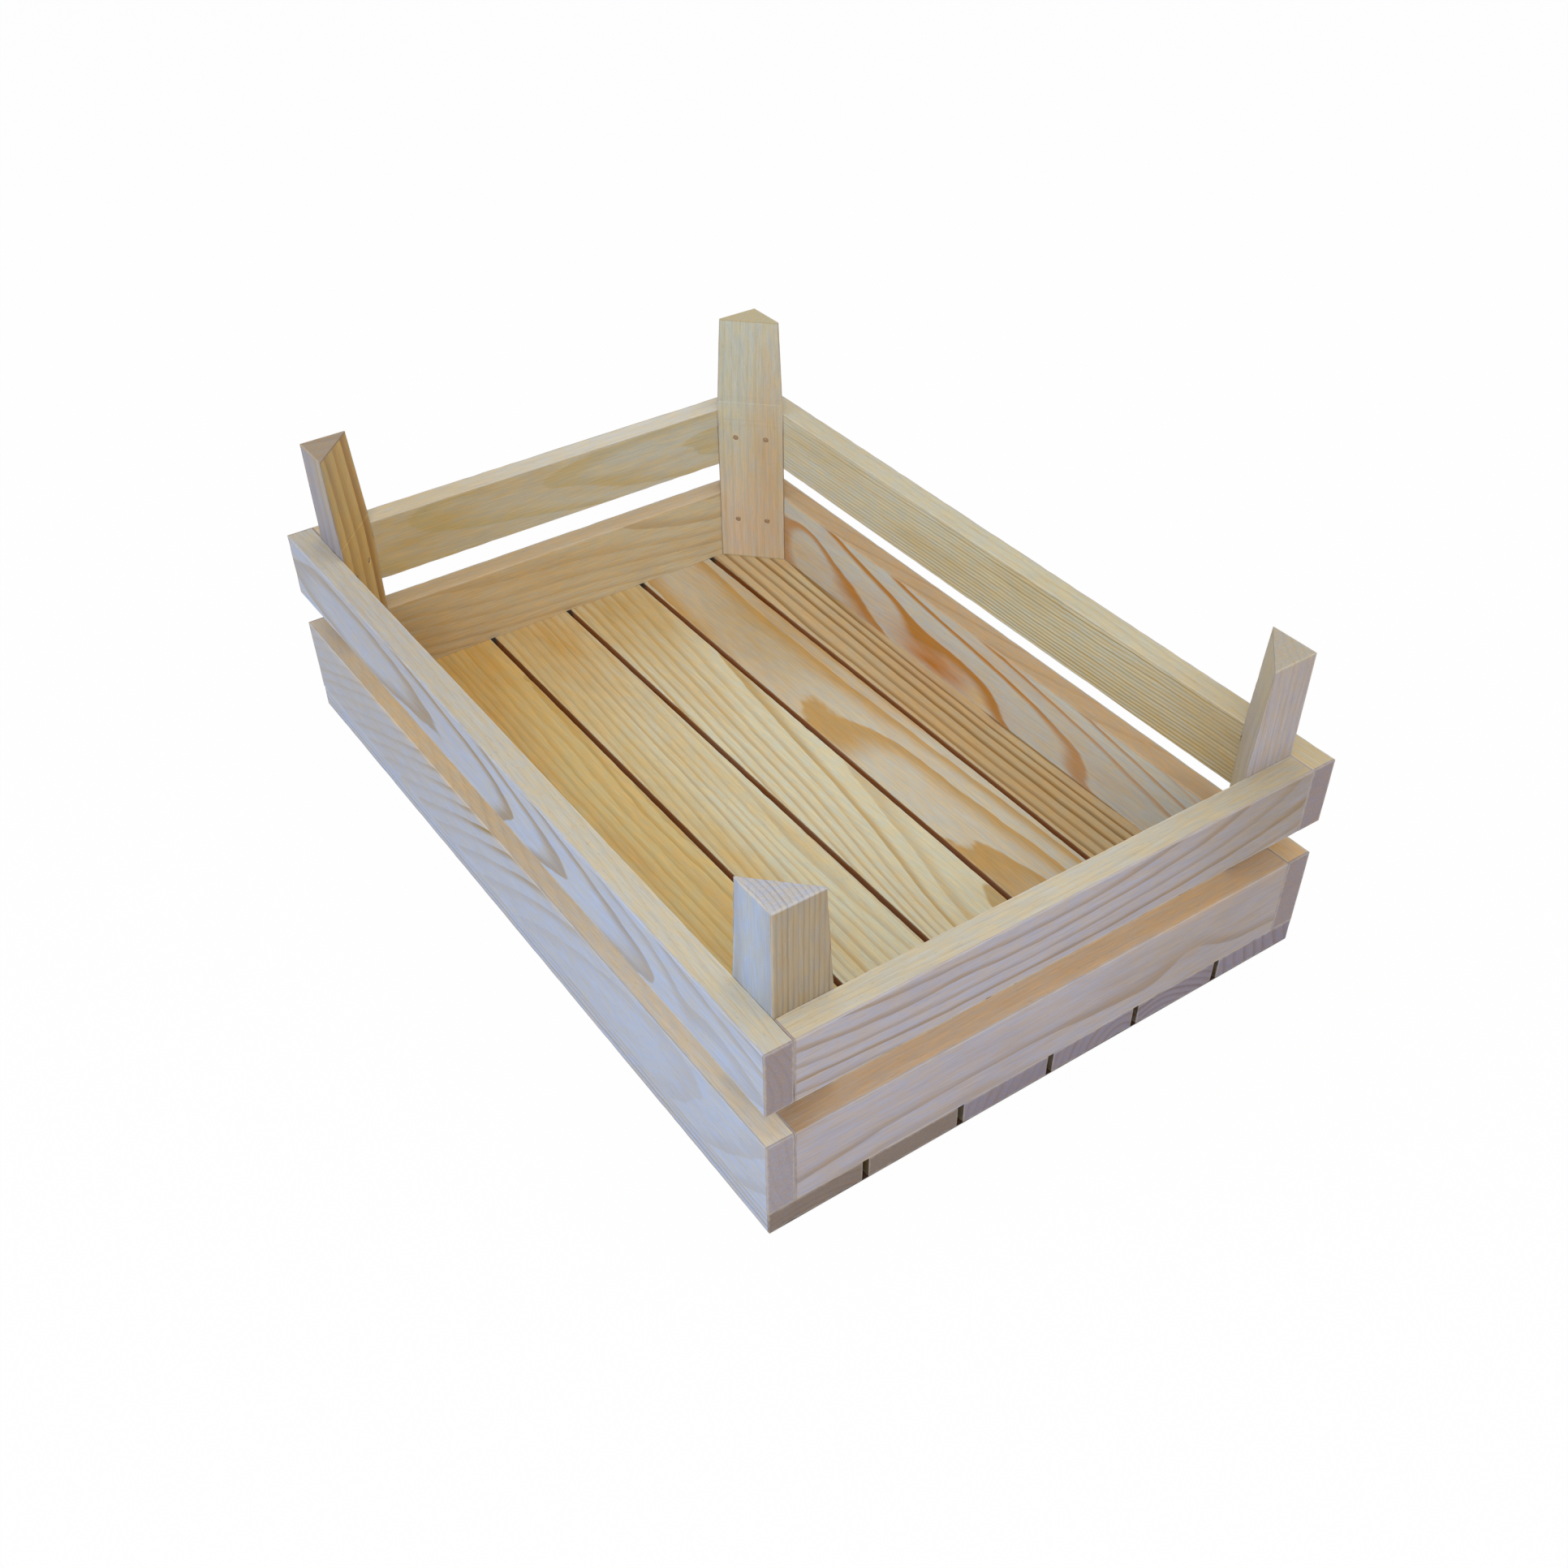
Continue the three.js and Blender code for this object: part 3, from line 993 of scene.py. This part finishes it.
# The wood of each piece, and how it was cut from its log.
PINES: dict[str, Pine] = {
    "floor_slat_1": Pine(
        Tones(0xE2C48E, 0xAA7E3C, 0xD49646), FRONT_WEATHER_WINDOW_LIT, NEAR_ENDS, strength=0.6, patches=0.4,
    ),
    "floor_slat_2": Pine(
        Tones(0xEAD195, 0xC59942, 0xDC9F45), SLAT_WEATHER_DIM_LIT, NEAR_ENDS, strength=0.5, patches=0.4,
        stains_and_light=(StainAndLight(-165, 0, 62, 40, 0xD09C48, 0.55),),
    ),
    "floor_slat_3": Pine(
        Tones(0xECE6C9, 0xC09853, 0xE1B65F), SLAT_WEATHER_DIM_LIT, SLAT_ENDS, strength=0.5, patches=0.35,
        stains_and_light=(StainAndLight(-165, 0, 70, 40, 0xD0A24E, 0.75), StainAndLight(-20, -14, 130, 10, 0xE4C888, 0.6)),
    ),
    "floor_slat_4": Pine(
        Tones(0xEAE3C7, 0xC39D56, 0xE1B157), SLAT_WEATHER_DIM_LIT, SLAT_ENDS, strength=0.72, patches=0.3,
        stains_and_light=(StainAndLight(-168, 0, 55, 40, 0xCAA256, 0.7),),
    ),
    "floor_slat_5": Pine(
        Tones(0xDDD4C1, 0xCA983C, 0xDB9F4C), SLAT_WEATHER_DIM_LIT, SLAT_ENDS, strength=1.1, sharpness=0.3,
        stains_and_light=(StainAndLight(-118, 4, 62, 30, 0xBEA070, 0.7),),
    ),
    "floor_slat_6": Pine(
        Tones(0xDEC7A0, 0x966D30, 0xDCA461), BACK_AIR, SLAT_ENDS, strength=0.95, patches=0.3,
        stains_and_light=(StainAndLight(60, -12, 110, 16, 0xC7A46E, 0.5), StainAndLight(-150, 8, 34, 10, 0xEFE2BB, 0.6)),
    ),
    "upper_front_board": Pine(
        FRONT_PINE, FRONT_WEATHER_WINDOW_LIT, BOARD_ENDS, RIM, strength=0.85, sharpness=0.5,
        lines_at=Patch(-20, 0, 190, 60), stains_and_light=(StainAndLight(-110, 8, 130, 30, 0xB8B3B4, 0.55),),
    ),
    # The pale ledge tones and the bright strip along the ledge are partly painted light, lifting the upper
    # board's shadow.
    "lower_front_board": Pine(
        FRONT_PINE, FRONT_WEATHER_WINDOW_LIT, Tones(0xAAA2AC, 0x806C68, 0xA09498),
        Tones(0xECE2D6, 0xC4AC96, 0xDCCCBA), strength=1.05, lines_at=Patch(-12, 20, 62, 13),
        stains_and_light=(
            StainAndLight(-150, 5, 130, 40, 0xB8B1AE, 0.6), StainAndLight(-10, 22, 90, 10, 0xBCB3A9, 0.5),
            StainAndLight(-80, 22, 110, 4, 0xF8D6A0, 1.1),
        ),
    ),
    "upper_back_board": Pine(
        Tones(0xE6E7DF, 0xB6984F, 0xD5BE85), BACK_AIR, BOARD_ENDS, RIM, strength=0.9, patches=0.4,
        lines_at=Patch(70, 0, 190, 60), inner=True,
        stains_and_light=(StainAndLight(40, 0, 200, 40, 0xDCD5B2, 0.55), StainAndLight(175, -6, 60, 40, 0xC8AC76, 0.7)),
    ),
    "lower_back_board": Pine(
        Tones(0xE0E1DE, 0xCE9248, 0xE5AB5B), BACK_AIR, BOARD_ENDS, Tones(0xE2C39C, 0xBE8E5A, 0xD8AC78),
        strength=1.6, sharpness=0.68, lines_at=Patch(-70, 0, 150, 60), inner=True,
        stains_and_light=(
            StainAndLight(-30, -12, 32, 10, 0xD68E3E, 0.9), StainAndLight(4, -14, 8, 5, 0xECD6AC, 0.9),
            StainAndLight(-150, -6, 16, 9, 0xE8D6B8, 0.6), StainAndLight(80, 0, 60, 12, 0xD8C4A6, 0.3),
        ),
    ),
    "upper_left_board": Pine(
        Tones(0xD9D6C7, 0xC7AF63, 0xD3B374), BACK_AIR, BOARD_ENDS, Tones(0xE6E0D4, 0xC2AE8E, 0xD6CAB0),
        strength=0.4, patches=0.4, inner=True, stains_and_light=(StainAndLight(-90, -4, 75, 40, 0xCBB17D, 0.75),),
    ),
    "lower_left_board": Pine(
        Tones(0xE0D5BA, 0xB79464, 0xD5A861), BACK_AIR, BOARD_ENDS, Tones(0xE8D2B4, 0xC29E70, 0xD8BC92),
        strength=0.4, patches=0.35, inner=True,
        stains_and_light=(StainAndLight(-30, 0, 80, 40, 0xDABE8F, 0.5), StainAndLight(-105, 0, 50, 40, 0xD0AA6A, 0.6)),
    ),
    "upper_right_board": Pine(
        Tones(0xD6C6A2, 0x967654, 0xCEAA78), RIGHT_WEATHER_DIM_LIT, BOARD_ENDS, RIM, strength=0.72, sharpness=0.55,
        patches=0.3, stains_and_light=(StainAndLight(115, 4, 60, 40, 0x9B8B76, 0.6),),
    ),
    "lower_right_board": Pine(
        Tones(0xD6C49E, 0xA6845C, 0xCEAA78), RIGHT_WEATHER_DIM_LIT, BOARD_ENDS, Tones(0xDABEA4, 0xB88E60, 0xD6AA74),
        strength=0.85, sharpness=0.55, patches=0.4, lines_at=Patch(0, -9, 300, 9),
        stains_and_light=(
            StainAndLight(95, 4, 60, 40, 0xA8998A, 0.5), StainAndLight(-122, 22, 12, 4, 0xB2967E, 1.3),
            StainAndLight(75, 22, 45, 4, 0xE6BE90, 0.9),
        ),
    ),
    # The bluish tones on the face toward the front are painted cool window light.
    "front_left_post": Pine(
        Tones(0xE2C282, 0xA06E3A, 0xD8AC62), Tones(0xA7A4B1, 0x92888C, 0xA09BA6),
        Tones(0xAF9D8A, 0x98806A, 0xAA947A), side=Tones(0xC6BCAE, 0x9E8466, 0xBCAC96), sharpness=0.15,
        stains_and_light=(StainAndLight(62, 8, 26, 9, 0xC4B28C, 0.6),),
    ),
    # The bluish tones on the face toward the front are painted cool window light.
    "front_right_post": Pine(
        Tones(0xCEB692, 0x967A5E, 0xC4A478), Tones(0xB5C1D9, 0xA0A0A8, 0xA8B0BE),
        Tones(0xCAC9D0, 0x544042, 0xBEB6B2), side=Tones(0xB4A58F, 0x98826C, 0xA69074), strength=0.6,
    ),
    # The pale cool patch near the top is a painted highlight.
    "back_right_post": Pine(
        Tones(0xD4CAB4, 0xA8967C, 0xBAAA8E), POST_AIR,
        Tones(0xC1B7A8, 0xA08C78, 0xB4A28C), side=Tones(0xBDB2B1, 0xA0928C, 0xAEA09A), strength=0.3,
        stains_and_light=(StainAndLight(28, 0, 18, 60, 0xC6C0CA, 0.5),),
    ),
    # The bright patch low down is painted light, lifting the shade inside the crate.
    "back_left_post": Pine(
        Tones(0xD8D9CA, 0xBEB696, 0xC8C2A2), POST_AIR,
        Tones(0xCEC2A2, 0xB8A07A, 0xC8B68C), strength=0.24,
        stains_and_light=(
            StainAndLight(-50, 0, 45, 60, 0xEED0BC, 0.6), StainAndLight(50, 0, 30, 60, 0xC4CACA, 0.35),
            StainAndLight(-5, 7, 60, 7, 0xD6BEA0, 0.85),
        ),
    ),
}

GRAINS: dict[str, Grain] = {
    "floor_slat_1": Grain(-8, -70, 3.2, 0.01, seed=11),
    "floor_slat_2": Grain(
        19.7, -49.8, 1.724, -0.0196, 0.001, 0.0001, -392.5, -199.7, seed=12,
        swirls=(Swirl(-17.5, 21.9, 93.7, 6.8, -2.13),),
    ),
    "floor_slat_3": Grain(
        138.1, -13.3, 4.591, -0.0446, -0.0349, 0.0777, -89, 0.1, seed=13,
        swirls=(Swirl(40.8, 10.3, 89, 6.2, -4.15), Swirl(112.9, -15.9, 118.8, 19.3, -6.42)),
    ),
    "floor_slat_4": Grain(
        23.3, -27.8, 4.516, -0.0422, 0.0069, -0.4571, -699.7, 10239.7, seed=14,
        swirls=(Swirl(118.5, -8.8, 64.4, 12.9, -4.86),),
    ),
    "floor_slat_5": Grain(
        -2.7, -44.9, 3.585, -0.0153, -0.0142, -0.0648, -235.3, 483, seed=15,
        swirls=(
            Swirl(55.1, -43, 200, 23.8, -13.3), Swirl(247.3, -7.8, 183.7, 10.5, -2.33),
            Swirl(18.7, -12.7, 18.3, 13.3, -1.2), Swirl(-14.2, -15.2, 20.9, 11, 0.58),
        ),
    ),
    "floor_slat_6": Grain(
        85.8, 35.6, 5.774, 0.0175, -0.0828, -0.0194, 19.6, 0, seed=16,
        swirls=(Swirl(-10.3, 6.7, 200, 3.5, -2.26), Swirl(-98.1, -19, 45, 5.2, -1.68)),
    ),
    "upper_front_board": Grain(
        -3.5, -34.3, 3.757, -0.0102, 0.0188, 0.1239, -148.1, 113.8, seed=21,
        swirls=(
            Swirl(-8.4, -64, 34.4, 56, -4.96), Swirl(210.8, -11, 122.3, 25.7, -7),
            Swirl(-167.3, 27.3, 30.5, 13.6, -3.83), Swirl(149.2, -4.2, 18.1, 12.5, 2.38),
        ),
    ),
    "lower_front_board": Grain(-38.2, 86.8, 3.9, 0.2858, 0.0165, -0.1356, 87.4, 137.6, seed=22),
    "upper_back_board": Grain(80, -30, 1.8, 0.01, wander=1.3, ripple=0.6, seed=23),
    "lower_back_board": Grain(
        -35.4, 54, 6.166, -0.1907, -0.0332, 0.0409, -45.3, -19.8, seed=24,
        swirls=(
            Swirl(90.4, -22.7, 94.6, 18.4, 13.08), Swirl(-140, -2.4, 17.7, 14.8, -2.71),
            Swirl(-163.9, -1.9, 17.8, 11.7, 1.96), Swirl(-48.9, -8.2, 27.3, 9.3, 2.73),
        ),
    ),
    "upper_left_board": Grain(
        5.1, -15.1, 4.055, -0.0672, -0.007, 0.0828, 153.6, 99, seed=25,
        swirls=(Swirl(-97.8, -33.3, 59.6, 25, -11.5), Swirl(55.9, -2.2, 44.2, 3.5, 0.91)),
    ),
    "lower_left_board": Grain(
        22.4, -38.7, 3.514, -0.089, -0.0078, 0.0101, -98.2, 7462.1, seed=26,
        swirls=(Swirl(102.8, 53.9, 67.2, 47, -12.49), Swirl(-36.1, 0.7, 37.2, 59, -0.94)),
    ),
    "upper_right_board": Grain(
        24.2, -99.1, 2.557, -0.0787, -0.0615, 0.1143, 156.9, 475.7, seed=27,
        swirls=(Swirl(0, 47, 133, 43, -10.29), Swirl(-42.7, 5.3, 22, 8.2, 0.62)),
    ),
    "lower_right_board": Grain(
        8.2, -46, 4.427, 0.0001, -0.0129, -0.0249, -83.7, 0.4, seed=28,
        swirls=(
            Swirl(76.4, -5.9, 17.6, 11.5, 2.42), Swirl(46.3, 7.6, 33.7, 9.3, 3.54),
            Swirl(-28.4, -9.7, 45.4, 8, 2.05),
        ),
    ),
    "front_left_post": Grain(-60, 8, 7.6, wander=0.5, seed=31),
    "front_right_post": Grain(0, -70, 2.1, wander=0.5, ripple=0.3, seed=32),
    "back_right_post": Grain(40, 60, 3, wander=0.5, seed=33),
    "back_left_post": Grain(-70, -20, 3.6, wander=0.5, seed=34),
}


@dataclass
class FloorPanel(Timber):
    """Six slats side by side, which run the whole length under the side boards.

    They have dried and shrunk a little across since they were nailed, which has opened the gaps.
    """

    kind: str = "slat"
    slot: str = "floor_pine"
    run: Run = Run.FLAT
    # Painted shade on the slats' sides down in the gaps.
    gap_shade: float = 0.8
    shrunk: Size = (0.0, 0.2, 0.0)


@dataclass
class SideTiers(Timber):
    """Two tiers of side boards: the front and back ones cover the ends of the other two."""

    kind: str = "board"
    slot: str = "board_pine"
    first_wear: int = 10

    def blank(self, node: str) -> Blank:
        """The place of a board. Those at the left and the right run across the crate."""
        across = "left" in node or "right" in node
        return Blank(node, Run.CROSS if across else Run.LONG, self.envelope)


@dataclass
class CornerPosts(Timber):
    """Triangular posts that stand in the corners and lean back above the rim. Millimetres."""

    kind: str = "post"
    slot: str = "post_pine"
    run: Run = Run.UPRIGHT
    envelope: tuple[float, float] = (188.0, 123.0)
    first_wear: int = 20
    sawn: float = 0.25
    ease: float = 0.22
    crease: float = 0.5
    leg: float = 25.4
    top_leg: float = 22.2
    tip_flat: float = 0.5
    rim: float = 97.0
    soft_bend: float = 9.0
    bend_segments: int = 4
    divisions: int = 16
    near: float = 0.1

    def cut(self, blank: Blank) -> Piece:
        """Cuts a post from a square block: along the diagonal, back above the rim, flat at the tips.

        Args:
            blank: The post's place.

        Returns:
            The post.
        """
        side_x = 1 if blank.middle.x > 0 else -1
        side_y = 1 if blank.middle.y > 0 else -1
        outer_x = blank.high.x if side_x > 0 else blank.low.x
        outer_y = blank.high.y if side_y > 0 else blank.low.y
        corner = Vector((outer_x, outer_y, 0))
        inward = Vector((-side_x, -side_y, 0)).normalized()
        rim = Vector((0, 0, self.rim * MM))
        post = add(bpy.ops.mesh.primitive_cube_add, size=1, location=blank.middle, scale=blank.half * 2)
        flat = corner + Vector((-side_x * self.leg * MM, 0, 0))
        taper = (self.leg - self.top_leg) * MM / (blank.high.z - self.rim * MM)
        self.saw(post, flat, inward)
        self.saw(post, flat + rim, Vector((-side_x, -side_y, taper)).normalized())
        for axis, side in ((0, side_x), (1, side_y)):
            tip = Vector((0, 0, 0))
            tip[axis] = -side
            at = corner + tip * (self.leg - self.tip_flat) * MM
            steep = tip + Vector((0, 0, taper))
            self.saw(post, at, tip)
            self.saw(post, at + rim, steep.normalized())
        choose(post, "EDGE", lambda edge: all(abs(v.co.z - rim.z) < self.near * MM for v in edge.verts))
        self.bevel(self.soft_bend, self.bend_segments)
        choose(post, "EDGE", lambda edge: self.along(edge, 2))
        bpy.ops.mesh.subdivide(number_cuts=self.divisions)
        self.round_over(post)
        return post

    @staticmethod
    def saw(piece: Piece, at: Vector, normal: Vector) -> None:
        """Cuts a piece by a plane and fills the cut.

        Args:
            piece: The piece.
            at: A point of the plane.
            normal: Points to the side that falls away.
        """
        choose(piece, "FACE")
        bpy.ops.mesh.bisect(plane_co=at, plane_no=normal, use_fill=True, clear_outer=True, threshold=1e-7)
        deselect()


# The softboxes: place, width and height in metres, power in watts and colour. They face the LAMP_AIM.
LAMP_AIM = (0, 0, 0.06)
LAMPS = {
    "overhead": ((0.2, 0.5, 2.6), (2.2, 2.2), 18, (1.0, 0.985, 0.96)),
    "window": ((-0.5, -2.6, 0.9), (2.4, 1.6), 20, (0.78, 0.88, 1.0)),
    "beside_camera": ((1.55, -1.0, 1.5), (1.2, 1.2), 22, (1.0, 0.97, 0.92)),
}


@dataclass
class Studio:
    """The camera that took the photograph, a pale floor and soft light. Metres, degrees and watts.

    The floor is painted dark under the crate, from the rims inwards, as a painted shadow. The rims are in
    millimetres from its faces.
    """

    aim: tuple[float, float, float] = (0.1024, -0.0627, 0.04)
    distance: float = 0.6642
    azimuth: float = 56.17
    elevation: float = 43.77
    roll: float = -0.93
    focal_pixels: float = 2036.0
    picture: float = 1932.0
    centre: tuple[float, float] = (960.0, 1140.0)
    sensor: float = 36.0
    floor_paint: Colour = (0.84, 0.84, 0.84, 1.0)
    floor_glow: float = 0.97
    floor_size: float = 16.0
    floor_at: Size = (0.0, 0.0, -0.0001)
    end_rim: tuple[float, float] = (-0.2, 0.4)
    side_rim: tuple[float, float] = (-0.6, -0.3)
    # Painted shadow: the floor's paint under the crate.
    painted_shadow: Shade = 0x46342A
    room_light: float = 0.46
    room_colour: Colour = (0.96, 0.98, 1.0, 1.0)
    lamps: dict[str, tuple] = field(default_factory=lambda: dict(LAMPS))

    def camera(self) -> None:
        """Places the camera where the photograph was taken."""
        azimuth, elevation, roll = (math.radians(a) for a in (self.azimuth, self.elevation, self.roll))
        flat, lift = math.cos(elevation), math.sin(elevation)
        back = Vector((math.sin(azimuth) * flat, -math.cos(azimuth) * flat, lift))
        level = Vector((0, 0, 1)).cross(back).normalized()
        plumb = back.cross(level)
        right = level * math.cos(roll) + plumb * math.sin(roll)
        up = plumb * math.cos(roll) - level * math.sin(roll)
        data = bpy.data.cameras.new("camera")
        data.sensor_width = self.sensor
        data.lens = self.sensor * self.focal_pixels / self.picture
        data.shift_x = 0.5 - self.centre[0] / self.picture
        data.shift_y = self.centre[1] / self.picture - 0.5
        data.clip_start = 0.01
        camera = bpy.data.objects.new("camera", data)
        bpy.context.scene.collection.objects.link(camera)
        turn = Matrix((right, up, back)).transposed().to_4x4()
        camera.matrix_world = Matrix.Translation(Vector(self.aim) + back * self.distance) @ turn
        bpy.context.scene.camera = camera

    def floor(self) -> None:
        """Lays a pale floor that shows white round the crate, keeps its shadow and is dark beneath it."""
        floor = add(bpy.ops.mesh.primitive_plane_add, size=self.floor_size, location=self.floor_at)
        floor.name = "studio_floor"
        shader = Shader(bpy.data.materials.new("studio_floor"))
        white = shader.node("ShaderNodeEmission", {}, {"Color": WHITE, "Strength": 1.0})
        x, y, _ = shader.place()
        past_ends = (abs(x) - ENVELOPE[0]).rise(*self.end_rim)
        outside = past_ends.most((abs(y) - ENVELOPE[1]).rise(*self.side_rim))
        # Painted shadow: the floor's paint is dark brown under the crate.
        pale = shader.mix(outside, srgb(self.painted_shadow), self.floor_paint)
        paint = shader.node("ShaderNodeBsdfDiffuse", {}, {"Color": pale})
        seen = self.seen_rays(shader) * (outside * self.floor_glow)
        floor.data.materials.append(shader.blend(seen, paint, white))

    @staticmethod
    def seen_rays(shader: Shader) -> Signal:
        """Finds the rays that show the background: from the camera, a reflection or clear glass.

        Args:
            shader: The shader that it is for.

        Returns:
            1 for such a ray, else 0.
        """
        kinds = ("Is Camera Ray", "Is Glossy Ray", "Is Transmission Ray")
        camera, glossy, clear = (shader.node("ShaderNodeLightPath", {}, {}, kind) for kind in kinds)
        return camera.most(glossy).most(clear)

    def world(self) -> None:
        """Fills the room with even light behind a white backdrop."""
        shader = Shader(bpy.data.worlds.new("studio"))
        light = {"Color": self.room_colour, "Strength": self.room_light}
        room = shader.node("ShaderNodeBackground", {}, light)
        white = shader.node("ShaderNodeBackground", {}, {"Color": WHITE, "Strength": 1.0})
        bpy.context.scene.world = shader.blend(self.seen_rays(shader), room, white, "World")

    @staticmethod
    def softbox(name: str, at: Size, size: tuple[float, float], watts: float, colour: Size) -> None:
        """Hangs a softbox that faces the crate.

        Args:
            name: The lamp's name.
            at: Its place.
            size: Its width and height.
            watts: Its power.
            colour: Its colour.
        """
        data = bpy.data.lights.new(name, "AREA")
        data.shape = "RECTANGLE"
        data.size, data.size_y = size
        data.energy = watts
        data.color = colour
        lamp = bpy.data.objects.new(name, data)
        lamp.location = at
        lamp.rotation_euler = (Vector(LAMP_AIM) - Vector(at)).to_track_quat("-Z", "Y").to_euler()
        bpy.context.scene.collection.objects.link(lamp)

    def light(self) -> None:
        """Lights the crate: room light, a lamp overhead, a cool window in front, one by the camera."""
        self.world()
        for name, lamp in self.lamps.items():
            self.softbox(name, *lamp)

    def build(self) -> None:
        """Sets up camera, floor and light."""
        self.camera()
        self.floor()
        self.light()
        bpy.context.scene.view_settings.view_transform = "Standard"
        log.info("studio ready")


def main() -> None:
    """Builds the crate piece by piece and sets it in the studio."""
    logging.basicConfig(level=logging.INFO, format="%(name)s: %(message)s")
    Studio().build()
    nails = Nails()
    for assembly in (FloorPanel(nails), SideTiers(nails), CornerPosts(nails)):
        assembly.build()
        log.info("%s built", type(assembly).__name__)
    nails.drive(Wire().material())
    nails.sweep_up()
    deselect()


if __name__ == "__main__":
    main()
